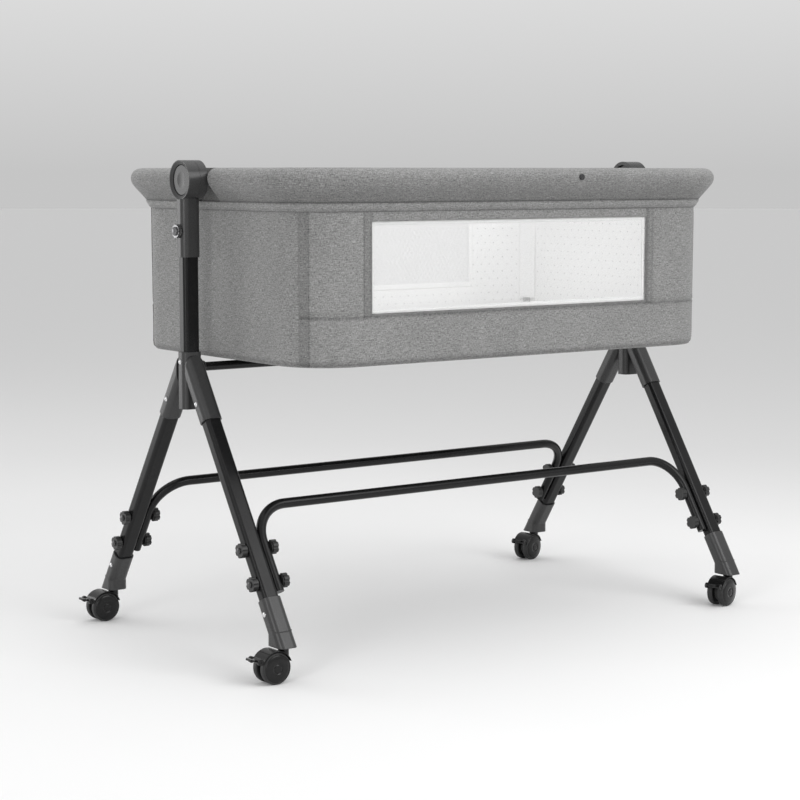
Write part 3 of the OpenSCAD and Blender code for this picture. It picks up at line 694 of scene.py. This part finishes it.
def closed_curve(points, count):
    """Points evenly spaced along a smooth closed curve through the given ones."""
    p, n = np.asarray(points), len(points)
    dense = []
    for i in range(n):
        a, b, c, d = (p[(i + k - 1) % n] for k in range(4))
        for t in np.linspace(0, 1, 16, endpoint=False):
            dense.append(0.5 * (2 * b + (c - a) * t + (2 * a - 5 * b + 4 * c - d) * t * t
                                + (3 * b - a - 3 * c + d) * t ** 3))
    dense = np.array(dense + [dense[0]])
    run = np.concatenate([[0], np.cumsum(np.linalg.norm(np.diff(dense, axis=0), axis=1))])
    want = np.linspace(0, run[-1], count, endpoint=False)
    return np.stack([np.interp(want, run, dense[:, k]) for k in (0, 1)], -1), run[-1]


ROLL_POINTS, ROLL_ROUND = closed_curve(OUTLINE, 72)
ROLL_NORMALS = np.roll(ROLL_POINTS, -1, 0) - np.roll(ROLL_POINTS, 1, 0)
ROLL_NORMALS = np.stack([-ROLL_NORMALS[:, 1], ROLL_NORMALS[:, 0]], -1)
ROLL_NORMALS /= np.linalg.norm(ROLL_NORMALS, axis=1)[:, None]
if ((ROLL_POINTS - ROLL_POINTS.mean(0)) * ROLL_NORMALS).sum() < 0:
    ROLL_NORMALS = -ROLL_NORMALS
NOTCH_X = abs(flange_low.x - X_MID) - HALF_L - 0.8 * MM   # room for the hub flange
NOTCH_Y = HUB_R + 0.9 * MM


def roll_place(s, k):
    k = k.astype(int) % len(ROLL_POINTS)
    d, z = ROLL_POINTS[k, 0], ROLL_POINTS[k, 1]
    nd, nz = ROLL_NORMALS[k, 0], ROLL_NORMALS[k, 1]
    p = at(s, d, z)
    outer = smooth(d, 8 * MM, 20 * MM)
    lump = 0.7 * MM * noise3(p, 9, 11) + 0.35 * MM * noise3(p, 26, 12)
    # cloth drawn in where it is sewn to the binding
    gather = np.sin(s / (6.5 * MM) + 2.5 * noise3(p, 16, 13)) * bell(z - (Z_TOP + 16 * MM), 9 * MM)
    crease = -0.8 * MM * smooth(noise3(p * [1, 1, 0.35], 11, 14), 0.35, 0.8) \
        * bell(z - (Z_TOP + 30 * MM), 12 * MM)
    grow = (lump + 0.5 * MM * gather + crease) * (0.35 + 0.65 * outer)
    d, z = d + nd * grow, z + nz * grow
    d = np.minimum(d, 35 * MM)
    # the hubs' flanges sit in a flat notch in the outer side
    x, y, nx, ny = wall(s)
    near = smooth(np.abs(y), NOTCH_Y, NOTCH_Y + 2.5 * MM) * np.abs(nx) + (1 - np.abs(nx))
    limit = NOTCH_X + (36 * MM - NOTCH_X) * near
    over = d - limit
    d = np.where(over > -1.5 * MM, limit - 1.5 * MM * np.exp(-(over + 1.5 * MM) / (1.5 * MM)), d)
    return at(s, d, z)


def roll_tone_light_and_shade(s, k):
    k = k.astype(int) % len(ROLL_POINTS)
    d, z = ROLL_POINTS[k, 0], ROLL_POINTS[k, 1]
    # painted light and shade: the roll's outer side is lighter on top and darker towards its underside
    painted_light_and_shade = 1.08 - 0.22 * smooth(-z, -RIM_TOP + 4 * MM, -RIM_TOP + 20 * MM) \
        - 0.16 * smooth(-z, -RIM_TOP + 24 * MM, -RIM_TOP + 46 * MM)
    # painted shade in the crease where the roll meets the binding
    tone = np.where(d > 5 * MM, painted_light_and_shade, 1) - 0.34 * bell(z - (Z_TOP + 12.5 * MM), 2.5 * MM) * (d > 0)
    return np.clip(tone + 0.04 * noise3(at(s, d, z), 8, 15), 0.3, 1.15)


edges = []
for middle in (CORE_X + ARC + CORE_Y, 3 * CORE_X + 3 * ARC + 3 * CORE_Y):
    edges += [middle - NOTCH_Y - 1.2 * MM, middle + NOTCH_Y + 1.2 * MM]
S = lines(0, PERIMETER - 4 * MM, 4.2 * MM, *edges)
S = np.array(sorted(list(S) + [e + t * MM for e in edges for t in (-1.3, 1.3)]))
rim = grid("rim_cover", S, np.arange(len(ROLL_POINTS), dtype=float), roll_place, loop_s=True,
           loop_t=True, tone=roll_tone_light_and_shade, uv_span=(PERIMETER, len(ROLL_POINTS)),
           uv=lambda u, v: (u, v * ROLL_ROUND / len(ROLL_POINTS)))
dress(rim, LINEN, stands_for=["rim_roll_front", "rim_roll_rear"])

# binding between the roll and the walls; its tone is lifted lighter overall, with painted shade at its seam
# and a painted shadow under the roll
BIND = [(9.4, 724.4), (8.9, 721.5), (7.2, 718.4), (5.0, 715.2), (3.0, 712.6), (1.6, 711.2),
        (0.2, 711.4), (-0.2, 713.5), (2.0, 717.5), (5.2, 722.0), (7.6, 724.6)]
BIND = np.array(BIND) * MM + [0, Z_TOP - DRAWN_TOP]
BIND_POINTS, BIND_ROUND = closed_curve(BIND, 26)


def bind_place(s, k):
    k = k.astype(int) % len(BIND_POINTS)
    d, z = BIND_POINTS[k, 0], BIND_POINTS[k, 1]
    p = at(s, d, z)
    grow = 0.3 * MM * noise3(p, 14, 21) + 0.22 * MM * np.sin(s / (3.6 * MM) + 2 * noise3(p, 20, 22))
    return at(s, d + grow, z + 0.3 * MM * noise3(p, 18, 23))


def bind_tone_and_shade(s, k):
    k = k.astype(int) % len(BIND_POINTS)
    z = BIND_POINTS[k, 1]
    # painted shade in the seam crease at its foot and a painted shadow under the roll at its top
    return 1.22 - 0.45 * bell(z - (Z_TOP - 0.6 * MM), 1.2 * MM) \
        - 0.35 * bell(z - (Z_TOP + 12 * MM), 1.4 * MM)


binding = grid("rim_binding", lines(0, PERIMETER - 4 * MM, 4 * MM), np.arange(26, dtype=float),
               bind_place, loop_s=True, loop_t=True, tone=bind_tone_and_shade, uv_span=(PERIMETER, 26),
               uv=lambda u, v: (u, v * BIND_ROUND / 26))
dress(binding, TAPE)

# welt round the foot of the walls
loop = np.linspace(0, PERIMETER, 660, endpoint=False)
foot = tube("foot_welt", at(loop, -5.6 * MM, 0 * loop + Z_LOW + 1.6 * MM), 2.2 * MM, 10)
dress(foot, PLAIN)

# ---------------------------------------------------------------- nets in the windows
for side, (a, b) in WINDOWS.items():
    over = 3 * MM

    def place(s, z):
        p = at(s, 0 * s, z)
        d = -2.2 * MM + 0.45 * MM * noise3(p, 10, 31) * np.minimum(1, np.abs(z - WIN_LOW) / (20 * MM))
        return at(s, d - 1.2 * MM * bell(z - (WIN_LOW + WIN_HIGH) / 2, 60 * MM), z)

    net = grid(f"window_net_{side}", lines(a - over, b + over, 6 * MM),
               lines(WIN_LOW - over, WIN_HIGH + over, 6 * MM), place)
    dress(net, NET, stands_for=["mesh_windows"] if side == "front" else ())

# ---------------------------------------------------------------- white lining
LINE_LOW, LINE_HIGH = Z_LOW + 8 * MM, Z_TOP + 1.5 * MM
HEM = 5 * MM


def lining_place(s, z):
    p = at(s, 0 * s, z)
    d = -4.2 * MM - 0.9 * MM * smooth(noise3(p, 8, 41), -0.6, 0.9) \
        - 0.5 * MM * smooth(noise3(p, 20, 42), -0.5, 0.9)
    gather = 1 + np.sin(s / (8 * MM) + 2.5 * noise3(p, 12, 43))
    d = d - 0.45 * MM * gather * bell(z - LINE_HIGH, 22 * MM)
    for a, b in WINDOWS.values():
        for k in (-1, 0, 1):
            u = s + k * PERIMETER
            close = np.maximum(np.maximum(a - u, u - b), np.maximum(WIN_LOW - z, z - WIN_HIGH))
            d = np.where(close < 9 * MM, d + (-4.0 * MM - d) * (1 - smooth(close, 0, 9 * MM)), d)
    return at(s, d, z)


def lining_hole(s, z):
    out = np.zeros(s.shape, bool)
    for a, b in WINDOWS.values():
        for k in (-1, 0, 1):
            u = s + k * PERIMETER
            out |= (u > a + HEM) & (u < b - HEM) & (z > WIN_LOW + HEM) & (z < WIN_HIGH - HEM)
    return out


stops = [np.mod(v, PERIMETER) for a, b in WINDOWS.values() for v in (a + HEM, b - HEM)]
S = lines(0, PERIMETER - 5 * MM, 5 * MM)
S = np.array(sorted([v for v in S if min(abs(v - e) for e in stops) > 1.2 * MM] + stops))
Z = lines(LINE_LOW, LINE_HIGH, 4.5 * MM)
levels = [WIN_LOW + HEM, WIN_HIGH - HEM]
Z = np.array(sorted([v for v in Z if min(abs(v - e) for e in levels) > 1.2 * MM] + levels))
lining = grid("lining_cloth", S, Z, lining_place, loop_s=True, hole=lining_hole,
              uv_span=(PERIMETER, 0))
thicken(lining, 0.9 * MM)
dress(lining, DOTS, stands_for=["inner_liner"])

# bound edges round the lining's openings
for side, (a, b) in WINDOWS.items():
    for name, s0, s1, z0, z1 in (("low", a + 1 * MM, b - 1 * MM, WIN_LOW - 3 * MM, WIN_LOW + 6.5 * MM),
                                 ("high", a + 1 * MM, b - 1 * MM, WIN_HIGH - 6.5 * MM, WIN_HIGH + 3 * MM),
                                 ("near", a - 3 * MM, a + 6.5 * MM, WIN_LOW - 3 * MM, WIN_HIGH + 3 * MM),
                                 ("far", b - 6.5 * MM, b + 3 * MM, WIN_LOW - 3 * MM, WIN_HIGH + 3 * MM)):
        def place(s, z, m=((s0 + s1) / 2, (z0 + z1) / 2), h=((s1 - s0) / 2, (z1 - z0) / 2)):
            e = np.minimum(h[0] - np.abs(s - m[0]), h[1] - np.abs(z - m[1]))
            return at(s, -5.1 * MM - 0.8 * MM * smooth(e, 0, 1.6 * MM), z)

        S = lines(s0, s1, 5 * MM if s1 - s0 > 0.1 else 1.2 * MM)
        Z = lines(z0, z1, 5 * MM if z1 - z0 > 0.1 else 1.2 * MM)
        strip = thicken(grid(f"lining_edge_{side}_{name}", S, Z, place), 0.7 * MM)
        dress(strip, TRIM)

# raised lining bands with small grey tabs near the corners, down to the mattress
for name, ax, ay in (("right_rear", 1, 1), ("right_front", 1, -1), ("left_rear", -1, 1),
                     ("left_front", -1, -1)):
    s0, s1 = sorted(corner_s(ax, ay, math.radians(t)) for t in (15, 37))

    def place(s, z, m=(s0 + s1) / 2, h=(s1 - s0) / 2):
        e = h - np.abs(s - m)
        return at(s, -6.0 * MM - 0.9 * MM * smooth(e, 0, 1.8 * MM)
                  - 0.3 * MM * noise3(at(s, 0 * s, z), 25, 51), z)

    band = grid(f"lining_band_{name}", lines(s0, s1, 1.6 * MM),
                lines(Z_LOW + 52 * MM, Z_TOP - 30 * MM, 6 * MM), place)
    thicken(band, 0.8 * MM)
    dress(band, TRIM)
    m = (s0 + s1) / 2

    def place(s, z, m=m):
        return at(s, -7.4 * MM - 1.2 * MM * bell(z - (Z_LOW + 46 * MM), 8 * MM), z)

    tab = grid(f"lining_tab_{name}", lines(m - 8 * MM, m + 8 * MM, 2 * MM),
               lines(Z_LOW + 28 * MM, Z_LOW + 56 * MM, 2 * MM), place)
    thicken(tab, 1.2 * MM)
    dress(tab, PLAIN)

# ---------------------------------------------------------------- base board in its cloth cover
def disc_place(inset, low, high, crown_low, crown_high, rings):
    """A padded plate over the basket's plan. Rings run from the middle of the underside out,
    up the side and back to the middle of the top."""
    def place(s, k):
        k = k.astype(int)
        f, side = rings[k, 0], rings[k, 1]
        x, y, nx, ny = wall(s)
        x, y = x - inset * nx - X_MID, y - inset * ny
        edge = 1 - f
        plan = np.stack([x * f, y * f], -1)
        a, b = HALF_L - inset, HALF_W - inset
        crown = (1 - (plan[..., 0] / a) ** 2) * (1 - (plan[..., 1] / b) ** 2)
        z = np.where(side < 0.5, low + side * (high - low) - crown_low * crown,
                     low + side * (high - low) + crown_high * crown)
        return np.stack([plan[..., 0] + X_MID, plan[..., 1], z], -1)
    return place


def ring_table(edge_r, inner, side_steps, half_short):
    """(scale, height share) pairs for disc_place, rounded over at both edges."""
    flat = np.linspace(0.02, 1 - edge_r * 1.05 / half_short, inner)
    low = [(f, 0.0) for f in flat]
    arc = [(1 - edge_r / half_short * (1 - math.sin(t)), (1 - math.cos(t)) * 0.5)
           for t in np.linspace(0.15, math.pi - 0.15, side_steps)]
    high = [(f, 1.0) for f in flat[::-1]]
    return np.array(low + arc + high)


def close_ends(ob, count_s, count_t):
    """Fills the two small holes that the first and last ring leave."""
    me = ob.data
    verts = [v.co[:] for v in me.vertices]
    faces = [tuple(p.vertices) for p in me.polygons]
    uvs = np.zeros(len(me.loops) * 2, np.float32)
    me.uv_layers["cloth"].uv.foreach_get("vector", uvs)
    uvs = uvs.reshape(-1, 2)
    extra = []
    for k, flip in ((0, True), (count_t - 1, False)):
        ring = [i * count_t + k for i in range(count_s)]
        faces.append(tuple(ring[::-1] if flip else ring))
        extra += [verts[i][:2] for i in faces[-1]]
    new = new_object(ob.name + "_closed", verts, faces, np.vstack([uvs, np.array(extra)]))
    name = ob.name
    bpy.data.objects.remove(ob)
    new.name = name
    return new


def plan_uv(ob):
    """Cloth coordinates straight from the plan, for flat pieces."""
    me = ob.data
    co = np.array([v.co for v in me.vertices])
    index = np.zeros(len(me.loops), np.int32)
    me.loops.foreach_get("vertex_index", index)
    uv = co[index][:, :2].copy()
    me.uv_layers["cloth"].uv.foreach_set("vector", uv.astype(np.float32).ravel())


rings = ring_table(3 * MM, 16, 8, HALF_W)
S = np.linspace(0, PERIMETER, 220, endpoint=False)
base = grid("base_cover", S, np.arange(len(rings), dtype=float),
            disc_place(4 * MM, board_low.z - 0.3 * MM, board_high.z, 0.8 * MM, 0.0, rings),
            loop_s=True)
base = close_ends(base, len(S), len(rings))
plan_uv(base)
dress(base, UNDER, stands_for=["base_board"])

# ---------------------------------------------------------------- mattress
def mattress_mesh():
    """Crowned pad: soft edges, sides drawn in between the corners, shallow puckers at the welts."""
    rings = ring_table(15 * MM, 44, 18, HALF_W)
    S = np.linspace(0, PERIMETER, 520, endpoint=False)
    shape = disc_place(10 * MM, mat_low.z + 0.2 * MM, mat_high.z - 1.6 * MM, 0.0, 3.2 * MM, rings)

    def place(s, k):
        p = shape(s, k)
        side = rings[k.astype(int), 1]
        x, y, nx, ny = wall(s)
        belt = np.sin(np.pi * np.clip(side, 0, 1)) * smooth(rings[k.astype(int), 0], 0.9, 0.95)
        draw = -1.2 * MM * belt * (0.5 + 0.5 * noise3(p, 9, 61))
        p[..., 0] += nx * draw
        p[..., 1] += ny * draw
        top = smooth(side, 0.6, 1.0)
        edge = smooth(rings[k.astype(int), 0], 0.8, 0.98)
        wave = 0.8 * MM * noise3(p, 9, 62) + 0.35 * MM * noise3(p, 24, 63)
        pucker = 0.55 * MM * np.sin(s / (7 * MM) + 3 * noise3(p, 12, 64)) * edge
        p[..., 2] += top * (wave + pucker)
        return p

    ob = grid("mattress_pad", S, np.arange(len(rings), dtype=float), place, loop_s=True)
    return close_ends(ob, len(S), len(rings)), rings, S, place


pad, rings, S, pad_place = mattress_mesh()
plan_uv(pad)
dress(pad, DOTS, stands_for=["mattress"])
index = {"high": int(np.argmax(rings[:, 1] > 0.86)), "low": int(np.argmax(rings[:, 1] > 0.14))}
for name, k in index.items():
    path = pad_place(loop, np.full(loop.shape, k))
    x, y, nx, ny = wall(loop)
    path[:, 0] += nx * 0.8 * MM
    path[:, 1] += ny * 0.8 * MM
    welt = tube(f"mattress_welt_{name}", path, 2.0 * MM, 8)
    dress(welt, TRIM)

# ---------------------------------------------------------------- stitching
def sew(points, normals, pitch=3.4 * MM, length=2.3 * MM):
    """Stitches evenly along a line of points on the cloth."""
    run = np.concatenate([[0], np.cumsum(np.linalg.norm(np.diff(points, axis=0), axis=1))])
    want = np.arange(pitch / 2, run[-1], pitch)
    p = np.stack([np.interp(want, run, points[:, k]) for k in range(3)], -1)
    n = np.stack([np.interp(want, run, normals[:, k]) for k in range(3)], -1)
    q = np.stack([np.interp(want + 0.5 * MM, run, points[:, k]) for k in range(3)], -1)
    t = q - p
    good = np.linalg.norm(t, axis=1) > 1e-6
    p, n, t = p[good], n[good], t[good]
    t /= np.linalg.norm(t, axis=1)[:, None]
    n -= (n * t).sum(1)[:, None] * t
    n /= np.linalg.norm(n, axis=1)[:, None]
    return [(p[i], t[i], n[i], length) for i in range(len(p))]


def out_normal(s):
    x, y, nx, ny = wall(s)
    return np.stack([nx, ny, 0 * nx], -1)


rows = []
for side, (a, b) in SIDES.items():
    place, window = side_place[side], WINDOWS[side]
    up = np.linspace(Z_LOW + 9.5 * MM, Z_TOP - 1 * MM, 160)
    for s in (a + 1.0 * MM, a + 9.0 * MM, b - 1.0 * MM, b - 9.0 * MM):
        v = np.full(up.shape, s)
        rows += sew(place(v, up), out_normal(v))
    up = np.linspace(SEAM_Z + 1.5 * MM, Z_TOP - 1 * MM, 120)
    for s in (window[0] - 2.4 * MM, window[0] - 12.6 * MM, window[1] + 2.4 * MM, window[1] + 12.6 * MM):
        v = np.full(up.shape, s)
        rows += sew(place(v, up), out_normal(v))
    along = np.linspace(a + 12.5 * MM, b - 12.5 * MM, 500)
    rows += sew(place(along, np.full(along.shape, SEAM_Z - 3.0 * MM)), out_normal(along))
    along = np.linspace(window[0], window[1], 400)
    rows += sew(place(along, np.full(along.shape, WIN_HIGH + 5 * MM)), out_normal(along))
S = np.linspace(0, PERIMETER, 900)
rows += sew(at(S, 4.9 * MM, 0 * S + Z_TOP + 2.6 * MM), out_normal(S) + [0, 0, -0.7])
verts, faces = stitch_block(rows)
stitches = new_object("basket_stitching", verts, faces)
dress(stitches, THREAD)

# ---------------------------------------------------------------- castor wheels
def revolve(profile, count=72):
    """Points and faces of a profile of (radius, place along the axle) turned round the Y axis."""
    profile = np.asarray(profile)
    n = len(profile)
    a = np.linspace(0, 2 * math.pi, count, endpoint=False)
    verts = [(r * math.cos(t), y, r * math.sin(t)) for t in a for r, y in profile]
    faces = []
    for i in range(count):
        i2 = (i + 1) % count
        for k in range(n - 1):
            faces.append((i * n + k, i * n + k + 1, i2 * n + k + 1, i2 * n + k))
    faces.append(tuple(i * n for i in range(count)))
    faces.append(tuple(i * n + n - 1 for i in range(count))[::-1])
    return np.array(verts), faces


WHEEL = [(3.2, 5.2), (8.0, 5.2), (8.4, 6.4), (15.0, 6.4), (15.4, 5.3), (23.4, 5.3), (24.4, 5.8), (24.9, 6.9),
         (25.0, 8.4), (25.0, 11.8), (24.8, 13.6), (24.2, 15.0), (23.3, 15.9), (22.2, 16.3),
         (21.9, 16.2), (21.7, 15.6), (21.3, 15.6), (21.0, 16.3), (20.4, 16.7), (16.0, 17.5),
         (11.0, 18.1), (7.6, 18.35), (7.4, 17.8), (6.9, 17.8), (6.6, 18.4), (4.5, 18.65), (2.0, 18.7)]
TYRE_ROWS = range(4, 15)      # profile steps that are the soft tread
RIGHT_TURN = math.radians(14) # the right castors stand turned a little
for fx, across in ((-1, "left"), (1, "right")):
    for fy, depth in ((-1, "front"), (1, "rear")):
        tag = f"{depth}_{across}"
        low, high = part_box(f"castor_wheels_{tag}")
        middle = (low + high) / 2
        swivel = RIGHT_TURN if fx > 0 else 0.0
        verts, faces, kinds = [], [], []
        for side in (-1, 1):
            v, f = revolve(np.array(WHEEL) * MM)
            if side < 0:
                v[:, 1] *= -1
                f = [face[::-1] for face in f]
            kinds += [1 if (len(face) == 4 and (min(x % len(WHEEL) for x in face)) in TYRE_ROWS) else 0
                      for face in f]
            faces += [tuple(i + len(verts) for i in face) for face in f]
            verts += [tuple(p) for p in v]
        v, f = revolve([(3.0 * MM, -5.4 * MM), (3.0 * MM, 5.4 * MM)], 24)
        faces += [tuple(i + len(verts) for i in face) for face in f]
        kinds += [0] * len(f)
        verts += [tuple(p) for p in v]
        v = np.array(verts)
        c, s = math.cos(swivel), math.sin(swivel)
        v = np.stack([v[:, 0] * c - v[:, 1] * s, v[:, 0] * s + v[:, 1] * c, v[:, 2]], -1)
        wheel = new_object(f"castor_tyres_{tag}", v + np.array(middle), faces)
        wheel.data.materials.append(DARK)
        wheel.data.materials.append(TYRE)
        wheel.data.polygons.foreach_set("material_index", kinds)
        dress(wheel, DARK, f"wheels_{tag}", [f"castor_wheels_{tag}"])

# ---------------------------------------------------------------- floor and light
def floor_material():
    """White paper with a painted pool of light: near white under the stand, falling off to a pale grey
    further out.
    """
    m = Mat("floor_paint_and_painted_light", Roughness=0.7, Specular_IOR_Level=0.15)
    p = m.place()
    away = m.add("VectorMath", {0: p}, out=1, operation="LENGTH")
    # painted light: the floor's colour falls off with distance from the stand, which lifts the shadow under
    # the basket
    far = m.add("MapRange", {"Value": away, "From Min": 0.3, "From Max": 2.4, "To Min": 0.0,
                             "To Max": 1.0}, interpolation_type="SMOOTHSTEP")
    n = m.noise(p, 1.5, 3)
    near = m.blend(m.span(n, 0.3, 0.7), grey(0.94), grey(0.955))
    m.to("Base Color", m.blend(far, near, grey(0.8)))
    return m.m


STAGE_R = 40.0
count = 96
ring = [(STAGE_R * math.cos(2 * math.pi * k / count), STAGE_R * math.sin(2 * math.pi * k / count), 0)
        for k in range(count)]
floor = new_object("floor", ring, [tuple(range(count))])
floor.data.materials.append(floor_material())


def area_light(name, place, target, size, power):
    data = bpy.data.lights.new(name, "AREA")
    data.shape, data.size, data.size_y = "RECTANGLE", size[0], size[1]
    data.energy = power
    ob = bpy.data.objects.new(name, data)
    scene.collection.objects.link(ob)
    ob.location = place
    ob.rotation_euler = (Vector(target) - Vector(place)).to_track_quat("-Z", "Y").to_euler()
    ob.visible_camera = False


area_light("overhead_softbox", (0.2, 0.1, 2.8), (0, 0, 0.3), (2.6, 2.0), 12)
area_light("front_softbox", (0.9, -3.0, 2.3), (0.1, 0, 0.35), (2.4, 2.0), 50)
area_light("left_softbox", (-3.2, -1.7, 1.3), (0, 0, 0.4), (0.9, 2.2), 24)
area_light("rear_softbox", (-2.3, 3.0, 0.85), (0, 0, 0.6), (2.2, 1.6), 28)
world = bpy.data.worlds.new("world")
world.use_nodes = True
scene.world = world
# an even grey that gets a little lighter just above the horizon
back = next(n for n in world.node_tree.nodes if n.type == "BACKGROUND")
back.inputs["Strength"].default_value = 1.0
sky = world.node_tree.nodes
way = sky.new("ShaderNodeTexCoord")
part = sky.new("ShaderNodeSeparateXYZ")
rise = sky.new("ShaderNodeMapRange")
world.node_tree.links.new(way.outputs["Generated"], part.inputs[0])
world.node_tree.links.new(part.outputs[2], rise.inputs["Value"])
for name, value in (("From Min", 0.0), ("From Max", 0.09), ("To Min", 0.56), ("To Max", 0.72)):
    rise.inputs[name].default_value = value
world.node_tree.links.new(rise.outputs[0], back.inputs["Color"])
scene.view_settings.view_transform = "Standard"
